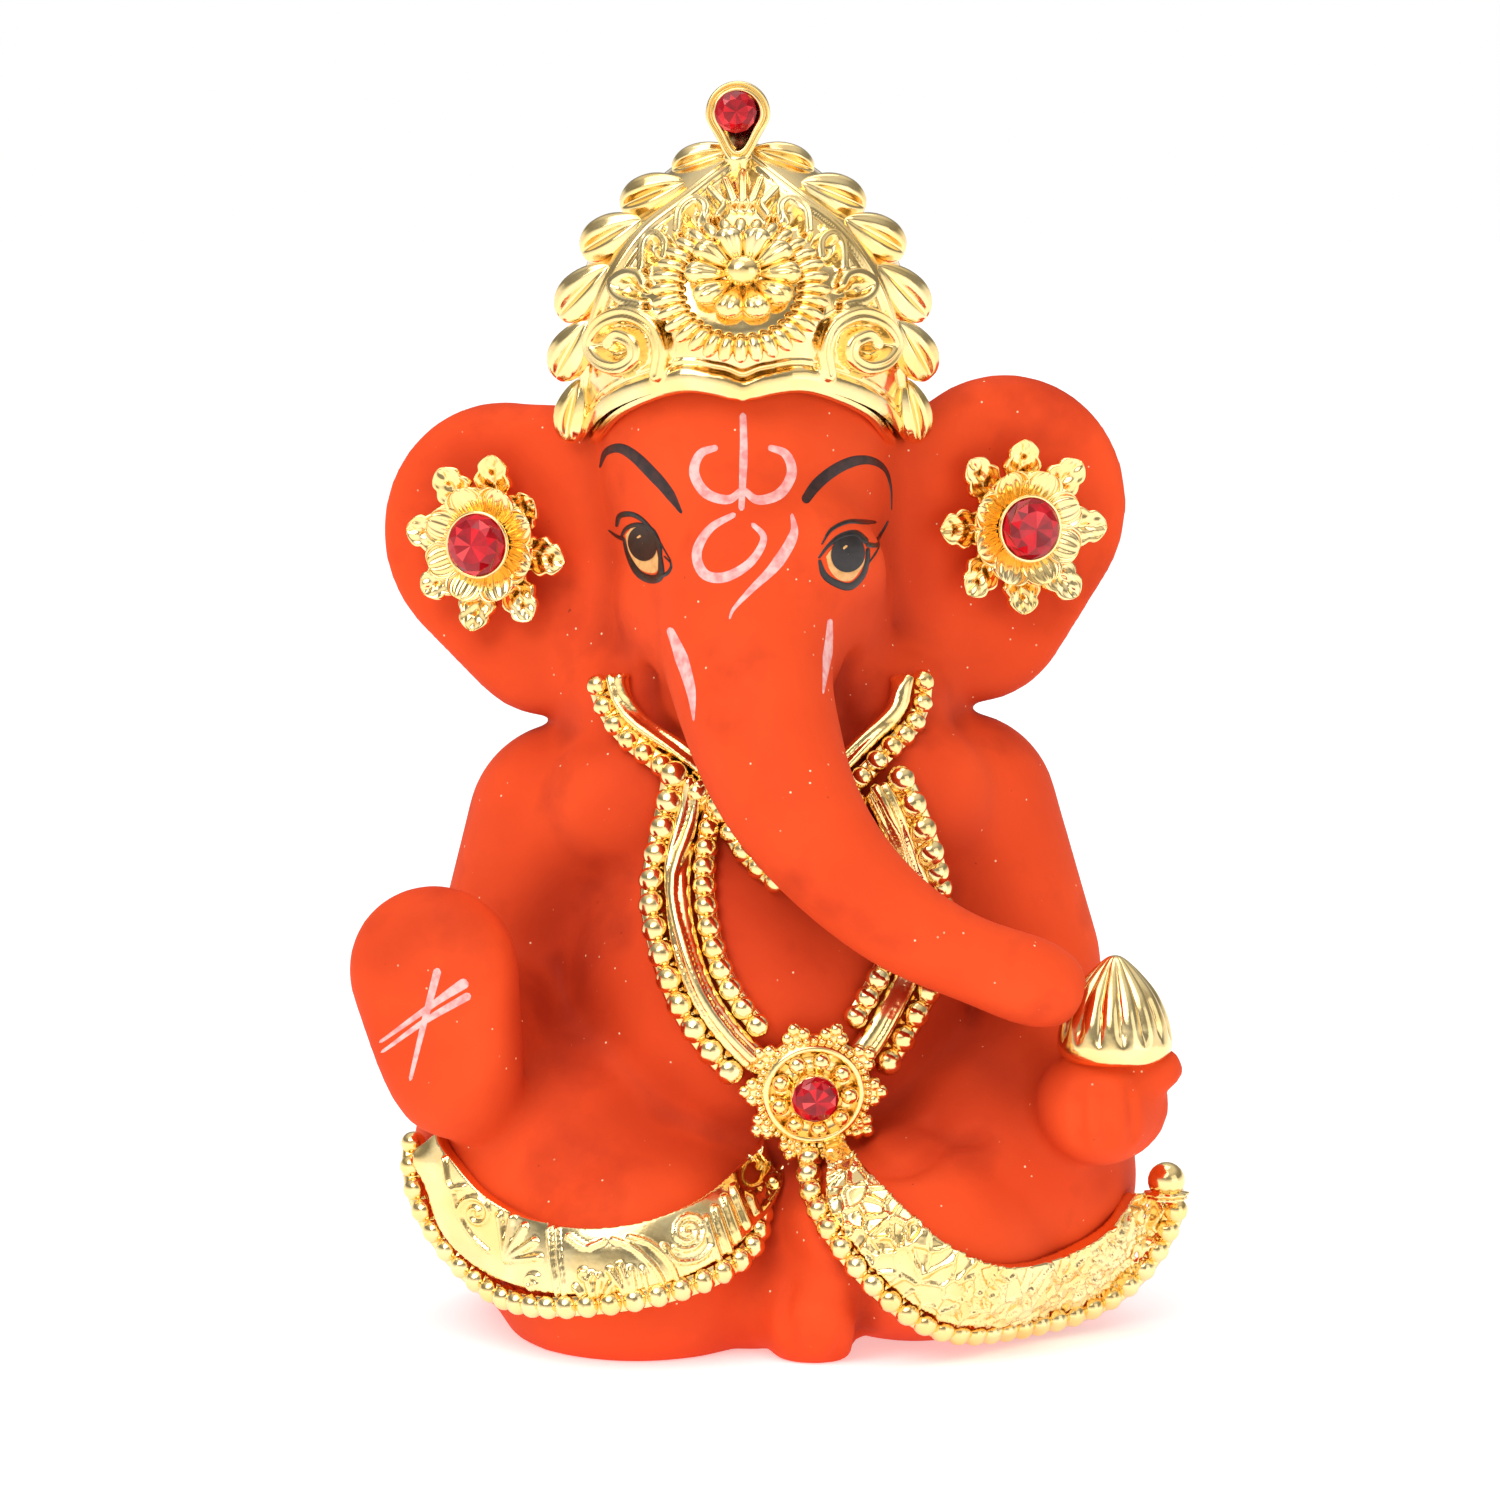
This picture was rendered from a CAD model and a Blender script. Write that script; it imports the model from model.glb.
"""Looks of the seated elephant-headed figurine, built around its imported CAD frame.

Working lengths are millimetres; MM turns them into metres when a mesh is made.
+Z is up and the figure faces -Y.  "right" and "left" are the figure's own.
"""
import math

import bmesh
import bpy
import numpy as np
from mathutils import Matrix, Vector
from mathutils.bvhtree import BVHTree


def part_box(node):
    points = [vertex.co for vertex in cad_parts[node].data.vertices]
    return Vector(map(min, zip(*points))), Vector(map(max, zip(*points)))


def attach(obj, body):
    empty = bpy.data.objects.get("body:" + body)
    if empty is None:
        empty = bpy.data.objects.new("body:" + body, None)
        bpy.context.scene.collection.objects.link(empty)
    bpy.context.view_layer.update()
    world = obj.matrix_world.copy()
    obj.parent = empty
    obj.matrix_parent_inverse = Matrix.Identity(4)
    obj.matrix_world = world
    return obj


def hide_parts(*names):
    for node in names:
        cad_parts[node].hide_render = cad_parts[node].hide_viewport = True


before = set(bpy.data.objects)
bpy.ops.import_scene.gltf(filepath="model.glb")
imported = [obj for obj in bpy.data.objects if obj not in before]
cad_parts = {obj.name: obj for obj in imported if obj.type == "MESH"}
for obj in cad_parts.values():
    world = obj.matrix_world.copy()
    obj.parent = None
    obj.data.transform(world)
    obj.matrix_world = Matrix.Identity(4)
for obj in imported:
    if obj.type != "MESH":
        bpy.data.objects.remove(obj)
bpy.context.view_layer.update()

MM = 0.001
FRONT = np.array((0.0, -1.0, 0.0))
UP = np.array((0.0, 0.0, 1.0))


# ---------------------------------------------------------------- meshes from arrays
def middle(node):
    low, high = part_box(node)
    return np.array((low + high) / 2) / MM


def unit(vector):
    vector = np.asarray(vector, float)
    return vector / np.linalg.norm(vector)


def turns(count):
    """Angles set evenly round a full circle."""
    return np.linspace(0, 2 * math.pi, count, endpoint=False)


def frame_axes(out, along=UP):
    """Rows: along made square to out, the axis across them, and out."""
    out = unit(out)
    along = unit(along - out * np.dot(along, out))
    return np.array((along, np.cross(out, along), out))


def moved(part, origin, axes=None, scale=1.0):
    points, faces = part
    points = points * scale
    if axes is not None:
        points = points @ axes
    return points + origin, faces


def grid(points, wrap_rows=False, wrap_columns=False):
    """Quads over an array of points shaped (rows, columns, 3)."""
    rows, columns = points.shape[:2]
    index = np.arange(rows * columns).reshape(rows, columns)
    if wrap_rows:
        index = np.concatenate((index, index[:1]))
    if wrap_columns:
        index = np.concatenate((index, index[:, :1]), axis=1)
    corners = (index[:-1, :-1], index[:-1, 1:], index[1:, 1:], index[1:, :-1])
    return points.reshape(-1, 3), np.stack(corners, axis=-1).reshape(-1, 4)


def merged(parts):
    points, faces, base = [], [], 0
    for part_points, part_faces in parts:
        points.append(part_points)
        faces.append(np.asarray(part_faces) + base)
        base += len(part_points)
    return np.concatenate(points), np.concatenate(faces)


def ball(centre, radii, axes=None, rings=12, sides=20):
    turn = turns(sides)
    tilt = np.linspace(0.001, math.pi - 0.001, rings)[:, None]
    unit_ball = np.stack((np.sin(tilt) * np.cos(turn), np.sin(tilt) * np.sin(turn),
                          np.cos(tilt) + 0 * turn), axis=-1)
    return moved(grid(unit_ball * radii, wrap_columns=True), np.asarray(centre), axes)


def lathe(profile, sides=48, flute=None):
    """A surface turned round +Z from (radius, height) pairs; flute scales the radius by angle."""
    profile = np.asarray(profile, float)
    turn = turns(sides)
    radius = np.maximum(profile[:, :1], 1e-4) * np.ones(sides)
    if flute is not None:
        radius = radius * flute(profile[:, 1:], turn)
    points = np.stack((radius * np.cos(turn), radius * np.sin(turn),
                       profile[:, 1:] + 0 * turn), axis=-1)
    return grid(points, wrap_columns=True)


def smooth_line(points, count):
    """A Catmull-Rom curve through points, resampled evenly."""
    points = np.asarray(points, float)
    padded = np.concatenate((2 * points[:1] - points[1:2], points, 2 * points[-1:] - points[-2:-1]))
    pieces = []
    for a, b, c, d in zip(padded, padded[1:], padded[2:], padded[3:]):
        t = np.linspace(0, 1, 12, endpoint=False)[:, None]
        pieces.append(0.5 * (2 * b + (c - a) * t + (2 * a - 5 * b + 4 * c - d) * t ** 2
                             + (3 * b - a - 3 * c + d) * t ** 3))
    dense = np.concatenate(pieces + [points[-1:]])
    run = np.concatenate(([0], np.cumsum(np.linalg.norm(np.diff(dense, axis=0), axis=1))))
    even = np.linspace(0, run[-1], count)
    return np.stack([np.interp(even, run, dense[:, k]) for k in range(dense.shape[1])], axis=1)


def tube(line, radii, sides=10, flat=1.0, out=FRONT):
    """A closed bar along a line; flat squeezes it along out."""
    line = np.asarray(line, float)
    radii = np.broadcast_to(np.asarray(radii, float), len(line)).copy()
    radii[[0, -1]] *= 0.05
    heading = np.gradient(line, axis=0)
    heading /= np.linalg.norm(heading, axis=1)[:, None]
    side = np.cross(heading, out)
    side /= np.linalg.norm(side, axis=1)[:, None]
    lift = np.cross(side, heading)
    turn = turns(sides)[:, None]
    points = (line[:, None] + radii[:, None, None]
              * (side[:, None] * np.cos(turn) + lift[:, None] * np.sin(turn) * flat))
    return grid(points, wrap_columns=True)


def leaf(length, half_width, height, fold=0.0, veins=0, ribs=0, lobes=0, rim=0.0, curl=0.0,
         widest=0.5, blunt=0.7, rows=30, columns=21):
    """A leaf or petal lying along +X from the origin, domed towards +Z, with a low back.

    fold sinks a groove along its middle, veins cuts that many slanted grooves on each side,
    ribs raises that many lengthwise ribs, lobes scallops its edge, rim raises its edge, curl
    lifts its tip, widest is where along it the leaf is widest, and a low blunt rounds its ends.
    """
    u = np.linspace(0.002, 0.998, rows)[:, None]
    v = np.linspace(-1, 1, columns)[None, :]
    swell = np.sin(math.pi * u ** (math.log(0.5) / math.log(widest)))
    width = half_width * swell ** blunt
    if lobes:
        width = width * (0.86 + 0.2 * np.abs(np.sin(math.pi * lobes * u)))
    top = height * np.sqrt(1 - v ** 2) * swell ** 0.6
    top = top - fold * np.exp(-(v / 0.2) ** 2) * swell
    if veins:
        slant = 2 * math.pi * (veins * u - 1.1 * np.abs(v))
        top = top + 0.2 * height * np.cos(slant) * (1 - np.abs(v))
    if ribs:
        top = top + 0.25 * height * np.cos(math.pi * ribs * v) * swell
    top = top + rim * np.exp(-((np.abs(v) - 0.84) / 0.13) ** 2) * swell ** 0.3
    lift = curl * u ** 2
    back = -0.3 * height * (1 - v ** 2) * swell
    front = np.stack((length * u + 0 * v, width * v, top + lift), axis=-1)
    behind = np.stack((length * u + 0 * v, width * v, back + lift), axis=-1)
    return grid(np.concatenate((front, behind[:, ::-1]), axis=1), wrap_columns=True)


def leaf_axes(axis, out=FRONT):
    """Axes for a leaf that points exactly along axis and faces out as nearly as it can."""
    axis = unit(axis)
    return frame_axes(out - axis * np.dot(out, axis), axis)


def distance_to_line(points, line):
    """The distance of each point from a line of points, and how far along the line that is."""
    nearest = np.full(len(points), 1e9)
    along = np.zeros(len(points))
    run = 0.0
    for a, b in zip(line[:-1], line[1:]):
        step = b - a
        length = np.linalg.norm(step)
        share = np.clip((points - a) @ step / length ** 2, 0, 1)
        gap = np.linalg.norm(points - a - share[:, None] * step, axis=1)
        closer = gap < nearest
        nearest = np.where(closer, gap, nearest)
        along = np.where(closer, run + share * length, along)
        run += length
    return nearest, along


def ridge(gap, half_width, height, groove=0.0):
    """The height of a rounded ridge at a distance from its line, with a groove down its middle."""
    round_top = np.sqrt(np.clip(1 - (gap / half_width) ** 2, 0, 1))
    return height * (round_top - groove * np.exp(-(gap / (0.28 * half_width)) ** 2))


def make_piece(name, part, material, stands_for=(), faceted=False):
    points, faces = part
    mesh = bpy.data.meshes.new(name)
    mesh.vertices.add(len(points))
    mesh.vertices.foreach_set("co", (points * MM).ravel())
    faces = np.asarray(faces)
    corners = faces.shape[1]
    mesh.loops.add(faces.size)
    mesh.loops.foreach_set("vertex_index", faces.ravel())
    mesh.polygons.add(len(faces))
    mesh.polygons.foreach_set("loop_start", np.arange(0, faces.size, corners))
    mesh.update(calc_edges=True)
    mesh.validate()
    if faceted:
        mesh.shade_flat()
    else:
        mesh.shade_smooth()
    mesh.materials.append(material)
    piece = bpy.data.objects.new(name, mesh)
    bpy.context.scene.collection.objects.link(piece)
    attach(piece, "root")
    if stands_for:
        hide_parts(*stands_for)
    return piece


# ---------------------------------------------------------------- reading the CAD frame
def tree_of(points, faces):
    return BVHTree.FromPolygons([Vector(p) for p in points], [tuple(map(int, f)) for f in faces])


def islands(node):
    """Centre and radius of each separate ball in a CAD node."""
    mesh = bmesh.new()
    mesh.from_mesh(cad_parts[node].data)
    bmesh.ops.remove_doubles(mesh, verts=mesh.verts, dist=1e-7)
    todo, found = set(mesh.verts), []
    while todo:
        stack = [todo.pop()]
        members = []
        while stack:
            vert = stack.pop()
            members.append(vert.co[:])
            for edge in vert.link_edges:
                other = edge.other_vert(vert)
                if other in todo:
                    todo.remove(other)
                    stack.append(other)
        cloud = np.array(members) / MM
        low, high = cloud.min(0), cloud.max(0)
        found.append(((low + high) / 2, (high - low).max() / 2))
    mesh.free()
    return found


def in_order(balls):
    """The balls as a chain, each next to its nearest neighbour, from the one at the end."""
    left = list(balls)
    centre = np.mean([c for c, r in left], axis=0)
    left.sort(key=lambda b: -np.linalg.norm(b[0] - centre))
    chain = [left.pop(0)]
    while left:
        near = min(range(len(left)), key=lambda i: np.linalg.norm(left[i][0] - chain[-1][0]))
        chain.append(left.pop(near))
    return chain


# ---------------------------------------------------------------- materials
def new_material(name):
    material = bpy.data.materials.new(name)
    material.use_nodes = True
    tree = material.node_tree
    where = tree.nodes.new("ShaderNodeTexCoord").outputs["Object"]
    return material, tree, tree.nodes["Principled BSDF"], where


def set_inputs(node, **inputs):
    """Sets inputs by name, with an underscore for each space."""
    for key, value in inputs.items():
        node.inputs[key.replace("_", " ")].default_value = value
    return node


def add_node(tree, kind, **inputs):
    return set_inputs(tree.nodes.new(kind), **inputs)


def attribute(tree, name):
    node = tree.nodes.new("ShaderNodeAttribute")
    node.attribute_name = name
    return node.outputs["Fac"]


def grey(level):
    return (level, level, level)


def noise(tree, where, scale, detail=3.0):
    node = add_node(tree, "ShaderNodeTexNoise", Scale=scale, Detail=detail)
    tree.links.new(where, node.inputs["Vector"])
    return node.outputs["Fac"]


def ramp(tree, source, stops):
    node = tree.nodes.new("ShaderNodeValToRGB")
    elements = node.color_ramp.elements
    while len(elements) < len(stops):
        elements.new(0.5)
    for element, (position, colour) in zip(elements, stops):
        element.position = position
        element.color = (*colour, 1.0)
    tree.links.new(source, node.inputs["Fac"])
    return node.outputs["Color"]


def mix(tree, amount, low, high, blend="MIX"):
    node = tree.nodes.new("ShaderNodeMix")
    node.data_type = "RGBA"
    node.blend_type = blend
    sockets = (node.inputs["Factor"], node.inputs[6], node.inputs[7])
    for socket, value in zip(sockets, (amount, low, high)):
        if isinstance(value, bpy.types.NodeSocket):
            tree.links.new(value, socket)
        elif isinstance(value, float):
            socket.default_value = value
        else:
            socket.default_value = (*value, 1.0)
    return node.outputs[2]


def bump(tree, shader, height, strength, distance):
    node = add_node(tree, "ShaderNodeBump", Strength=strength, Distance=distance)
    tree.links.new(height, node.inputs["Height"])
    tree.links.new(node.outputs["Normal"], shader.inputs["Normal"])


def painted_clay():
    """Matt orange-red paint: mottled, darker and redder in the creases, with fine sparkle."""
    material, tree, shader, where = new_material("painted_clay")
    mottle = ramp(tree, noise(tree, where, 90.0, 4.0),
                  [(0.30, (0.72, 0.060, 0.011)), (0.70, (0.86, 0.082, 0.016))])
    smudge = ramp(tree, noise(tree, where, 130.0, 6.0), [(0.56, grey(0.0)), (0.78, grey(0.55))])
    stained = mix(tree, smudge, mottle, (0.34, 0.018, 0.005))
    deep = mix(tree, attribute(tree, "crease"), stained, (0.20, 0.006, 0.002))
    pits = ramp(tree, noise(tree, where, 1500.0, 2.0), [(0.18, grey(1.0)), (0.23, grey(0.0))])
    worn = mix(tree, pits, deep, (0.16, 0.015, 0.008))
    grains = add_node(tree, "ShaderNodeTexVoronoi", Scale=1150.0)
    tree.links.new(where, grains.inputs["Vector"])
    spark = ramp(tree, grains.outputs["Distance"], [(0.07, grey(1.0)), (0.10, grey(0.0))])
    chosen = ramp(tree, noise(tree, where, 420.0, 1.0), [(0.56, grey(0.0)), (0.62, grey(1.0))])
    sparkle = mix(tree, 1.0, spark, chosen, "MULTIPLY")
    colour = mix(tree, sparkle, worn, (0.95, 0.66, 0.40))
    tree.links.new(colour, shader.inputs["Base Color"])
    set_inputs(shader, Roughness=0.72, Specular_IOR_Level=0.14)
    bump(tree, shader, noise(tree, where, 1300.0, 5.0), 0.25, 0.00006)
    return material


def plating():
    """Bright yellow electroplating: a mirror finish with faint waviness and warmer hollows."""
    material, tree, shader, where = new_material("gold_plating")
    tone = ramp(tree, noise(tree, where, 260.0, 3.0),
                [(0.35, (1.0, 0.70, 0.27)), (0.65, (1.0, 0.79, 0.40))])
    tree.links.new(tone, shader.inputs["Base Color"])
    set_inputs(shader, Metallic=1.0)
    rough = ramp(tree, noise(tree, where, 700.0, 4.0), [(0.3, grey(0.10)), (0.7, grey(0.22))])
    tree.links.new(rough, shader.inputs["Roughness"])
    bump(tree, shader, noise(tree, where, 900.0, 2.0), 0.30, 0.00008)
    return material


def ruby():
    """Dark red foiled glass; each facet takes its own brightness."""
    material, tree, shader, where = new_material("ruby_glass")
    depth = ramp(tree, attribute(tree, "facet"),
                 [(0.0, (0.20, 0.0, 0.004)), (0.55, (0.50, 0.002, 0.010)),
                  (0.88, (0.78, 0.006, 0.016)), (1.0, (0.95, 0.10, 0.10))])
    veil = ramp(tree, noise(tree, where, 900.0, 2.0), [(0.4, (0.20, 0.0, 0.004)), (0.6, (0.70, 0.01, 0.02))])
    tree.links.new(mix(tree, 0.25, depth, veil), shader.inputs["Base Color"])
    set_inputs(shader, Roughness=0.10, Specular_IOR_Level=0.2, Coat_Weight=0.45, Coat_Roughness=0.02)
    return material


def brushed_paint(name, thin, thick, roughness=0.5):
    """Hand-brushed enamel that is uneven along its strokes."""
    material, tree, shader, where = new_material(name)
    colour = ramp(tree, noise(tree, where, 1700.0, 4.0), [(0.35, thin), (0.6, thick)])
    tree.links.new(colour, shader.inputs["Base Color"])
    set_inputs(shader, Roughness=roughness)
    bump(tree, shader, noise(tree, where, 2600.0, 2.0), 0.2, 0.00004)
    return material


FLOOR_GLOW = 0.42       # lifts the floor to the white of the paper behind it


def white_floor():
    material, tree, shader, where = new_material("white_sweep")
    tone = ramp(tree, noise(tree, where, 6.0), [(0.3, grey(0.90)), (0.7, grey(0.93))])
    tree.links.new(tone, shader.inputs["Base Color"])
    set_inputs(shader, Roughness=0.9, Specular_IOR_Level=0.0, Emission_Color=(1.0, 1.0, 1.0, 1.0),
               Emission_Strength=FLOOR_GLOW)
    return material


CLAY = painted_clay()
GOLD = plating()
RUBY = ruby()
PINK = brushed_paint("pink_paint", (0.82, 0.27, 0.25), (0.90, 0.52, 0.48))
BLACK = brushed_paint("black_paint", (0.006, 0.004, 0.003), (0.018, 0.010, 0.008), 0.35)
BROWN = brushed_paint("brown_paint", (0.045, 0.010, 0.006), (0.016, 0.004, 0.003))
CREAM = brushed_paint("cream_paint", (0.72, 0.34, 0.09), (0.86, 0.46, 0.16))


# ---------------------------------------------------------------- the figure's body
BODY_VOXEL = 0.42
FILL_ROUNDS = 44
MELT_ROUNDS = 60        # how far the heel of the raised hand runs into the leg


class Sculpture:
    """The figure's skin as arrays, with the few brushes used on it."""

    def __init__(self, mesh):
        self.mesh = mesh
        count = len(mesh.vertices)
        self.points = self.read("co", mesh.vertices, count)
        edges = np.empty(len(mesh.edges) * 2, np.int64)
        mesh.edges.foreach_get("vertices", edges)
        edges = edges.reshape(-1, 2)
        self.start = np.concatenate((edges[:, 0], edges[:, 1]))
        self.end = np.concatenate((edges[:, 1], edges[:, 0]))
        self.degree = np.bincount(self.start, minlength=count).astype(float)

    def read(self, key, owner, count):
        values = np.empty(count * 3)
        owner.foreach_get(key, values)
        return values.reshape(-1, 3)

    def spread(self, values):
        """The mean over each vertex's neighbours."""
        count = len(self.degree)
        return np.bincount(self.start, weights=values[self.end], minlength=count) / self.degree

    def pull(self):
        """From each vertex to the middle of its neighbours."""
        return np.stack([self.spread(self.points[:, k]) for k in range(3)], axis=1) - self.points

    def normals(self):
        """Writes the points back to the mesh and reads its normals."""
        self.mesh.vertices.foreach_set("co", self.points.ravel())
        self.mesh.update()
        return self.read("normal", self.mesh.vertices, len(self.points))

    def fill_creases(self, rounds):
        """Fills hollow creases like a thumb over clay and leaves the rounded masses alone."""
        for i in range(rounds):
            if i % 4 == 0:
                normals = self.normals()
            pull = self.pull()
            hollow = (pull * normals).sum(1) > 0
            self.points += pull * np.where(hollow, 0.6, 0.03)[:, None]

    def polish(self, rounds):
        for i in range(rounds):
            self.points += self.pull() * 0.50
            self.points -= self.pull() * 0.52

    def push(self, amount):
        """Moves the skin outwards by an amount for each vertex, in millimetres."""
        self.points += self.normals() * (amount * MM)[:, None]

    def near_line(self, line, width):
        """A soft weight around a line of points in millimetres."""
        return np.exp(-(distance_to_line(self.points / MM, line)[0] / width) ** 2)

    def hollowness(self, rounds):
        """How deep each vertex lies in a crease, spread over its neighbours round by round."""
        normals = self.normals()
        depth = (self.pull() * normals).sum(1) / MM
        for i in range(rounds):
            depth = self.spread(depth)
        return depth


def even_copy(node, name, voxel):
    """A new mesh of even squares over a CAD node, with squares of voxel millimetres."""
    blank = bpy.data.objects.new(name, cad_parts[node].data.copy())
    bpy.context.scene.collection.objects.link(blank)
    remesh = blank.modifiers.new("even", "REMESH")
    remesh.mode = "VOXEL"
    remesh.voxel_size = voxel * MM
    graph = bpy.context.evaluated_depsgraph_get()
    mesh = bpy.data.meshes.new_from_object(blank.evaluated_get(graph))
    blank.modifiers.clear()
    blank.data = mesh
    return blank


def finish_skin(blank, material, node):
    blank.data.shade_smooth()
    blank.data.materials.clear()
    blank.data.materials.append(material)
    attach(blank, "root")
    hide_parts(node)


def on_skin(tree, x, z, from_y=-80.0):
    """Where a line running back from the front meets the skin, and the skin's normal there."""
    hit, normal, index, distance = tree.ray_cast(Vector((x, from_y, z)), Vector((0, 1, 0)))
    if hit is None:
        raise ValueError("no skin behind x %.1f, z %.1f" % (x, z))
    return np.array(hit), np.array(normal)


def line_on_skin(tree, origin, points, count=24):
    """A smooth line over the skin through points given as x and z from an origin."""
    flat = smooth_line([(origin[0] + x, origin[2] + z) for x, z in points], count)
    return np.array([on_skin(tree, x, z)[0] for x, z in flat])


PALM_FROM_BASE = (6.4, 25.5)    # palm's middle: x from the body's right side, z from the base
# x and z from the palm's middle: a dark smear, and the heel of the hand.
PALM_SMEAR = ((-3.6, 2.2), (-1.0, 4.2), (1.6, 4.0))
PALM_HEEL = ((-2.2, -8.6), (0.6, -10.2), (4.0, -8.6))
# x and z from the middle of the crown's rosette.
CHEEK_FOLDS = (
    ((7.6, -26.0), (6.9, -28.4), (7.3, -30.6)),
    ((-6.6, -27.2), (-6.2, -29.6), (-4.9, -31.4)),
)
# x and z from the middle of the modak: the gaps between the fingers.
FINGER_GAPS = (
    ((-2.7, -5.1), (-2.6, -8.6)),
    ((-0.9, -5.0), (-0.7, -8.8)),
    ((0.9, -4.9), (1.2, -8.4)),
)
# x and z from the middle of the pendant.
BELLY_FOLDS = (
    ((3.0, -3.2), (4.6, -4.6), (6.8, -4.4), (8.6, -3.4)),
    ((8.0, -2.2), (9.6, -3.0), (11.4, -2.9)),
)
PLEAT_EDGE = ((1.0, -8.4), (2.7, -10.8), (3.3, -14.0), (3.2, -16.6))
PLEAT_FOLDS = (
    ((-1.6, -12.4), (-2.0, -14.4), (-1.2, -16.4)),
    ((0.6, -14.6), (0.2, -16.0)),
    ((1.7, -15.2), (1.6, -16.8)),
)
PLEAT_RIDGE = ((-0.4, -8.4), (1.0, -11.0), (1.8, -14.2))


def sculpt_body(blank):
    clay = Sculpture(blank.data)
    clay.fill_creases(FILL_ROUNDS)
    clay.polish(6)
    clay.normals()
    tree = tree_of(clay.points / MM, [p.vertices for p in blank.data.polygons])
    face, sweet, lap = middle("crown_rosette"), middle("modak"), middle("pendant_disc")

    def strokes(origin, lines, width, depth):
        for line in lines:
            weight = clay.near_line(line_on_skin(tree, origin, line), width)
            clay.push(-depth * weight)

    heel = clay.near_line(line_on_skin(tree, palm_middle(), PALM_HEEL), 2.4)
    for i in range(MELT_ROUNDS):
        clay.points += clay.pull() * heel[:, None]
    strokes(face, CHEEK_FOLDS, 0.8, 0.7)
    strokes(sweet, FINGER_GAPS, 0.42, 0.42)
    strokes(lap, BELLY_FOLDS, 0.7, 0.55)
    strokes(lap, (PLEAT_RIDGE,), 2.2, -0.7)
    strokes(lap, (PLEAT_EDGE,), 0.8, 0.9)
    strokes(lap, PLEAT_FOLDS, 0.55, 0.45)
    for gem in ("earring_right_gem", "earring_left_gem"):
        dish_ear(clay, middle(gem))
    clay.polish(3)
    tree = tree_of(clay.points / MM, [p.vertices for p in blank.data.polygons])
    mark_creases(clay, tree)
    return tree


def dish_ear(clay, centre):
    """A shallow dish on an ear's front, deepest in a ring around the earring."""
    points = clay.points / MM
    away = np.linalg.norm((points - centre)[:, [0, 2]], axis=1)
    facing = np.clip(-clay.normals()[:, 1] * 1.4 - 0.5, 0, 1)
    side = np.sign(centre[0])
    outside = np.clip((side * points[:, 0] - 11.0) / 3.0, 0, 1)
    ring = np.exp(-((away - 5.6) / 2.2) ** 2)
    behind = points[:, 1] > centre[1]
    clay.push(-0.45 * ring * facing * outside * behind)


SHELTER_REACH = 14.0    # how far off other skin still shelters
SHELTER_RAYS = 14
SHELTER_ROUNDS = 12     # smoothing of the ray counts


def shelter(clay, tree):
    """How much of what each part of the skin faces is other skin close by, from 0 to 1."""
    normals = clay.normals()
    step = np.arange(SHELTER_RAYS) + 0.5
    height = 1 - 0.9 * step / SHELTER_RAYS
    turn = step * math.pi * (3 - math.sqrt(5))
    flat = np.sqrt(1 - height ** 2)
    directions = np.stack((flat * np.cos(turn), flat * np.sin(turn), height), axis=-1)
    rays = [Vector(ray) for ray in directions]
    blocked = np.zeros(len(normals))
    for i, (point, normal) in enumerate(zip(clay.points / MM, normals)):
        normal = Vector(normal)
        start = Vector(point) + normal * 0.3
        turned = normal.to_track_quat("Z", "Y")
        for ray in rays:
            if tree.ray_cast(start, turned @ ray, SHELTER_REACH)[0]:
                blocked[i] += 1
    share = blocked / SHELTER_RAYS
    for i in range(SHELTER_ROUNDS):
        share = clay.spread(share)
    return share


def palm_middle():
    """The middle of the raised palm's mark; only its x and z are used, so its y is 0."""
    low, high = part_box("idol_body")
    return np.array((low.x / MM + PALM_FROM_BASE[0], 0.0, low.z / MM + PALM_FROM_BASE[1]))


DARKEST_SOOT = 0.48
SMEAR_SOOT = 0.30


def mark_creases(clay, tree):
    """Stores how dark the paint is: it is darker in creases and in sheltered hollows."""
    depth = np.clip((clay.hollowness(10) - 0.0015) / 0.013, 0, 1) ** 0.9
    for i in range(6):
        depth = np.maximum(clay.spread(depth), depth * 0.9)
    soot = np.clip((shelter(clay, tree) - 0.06) * 1.1, 0, DARKEST_SOOT)
    smear = clay.near_line(line_on_skin(tree, palm_middle(), PALM_SMEAR), 2.2)
    soot = np.maximum(soot, SMEAR_SOOT * smear)
    layer = clay.mesh.attributes.new("crease", "FLOAT", "POINT")
    layer.data.foreach_set("value", np.clip(np.maximum(depth * 0.7, soot), 0, 1))


def make_body():
    blank = even_copy("idol_body", "figure_body", BODY_VOXEL)
    skin = sculpt_body(blank)
    finish_skin(blank, CLAY, "idol_body")
    return skin


SKIN = make_body()


# ---------------------------------------------------------------- painted marks
PAINT_LIFT = 0.035
# How far the eye's layers stand off the skin, from the ground up to the glint.
GROUND_LIFT, IRIS_LIFT, LINE_LIFT, GLINT_LIFT = 0.02, 0.055, 0.06, 0.1


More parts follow.
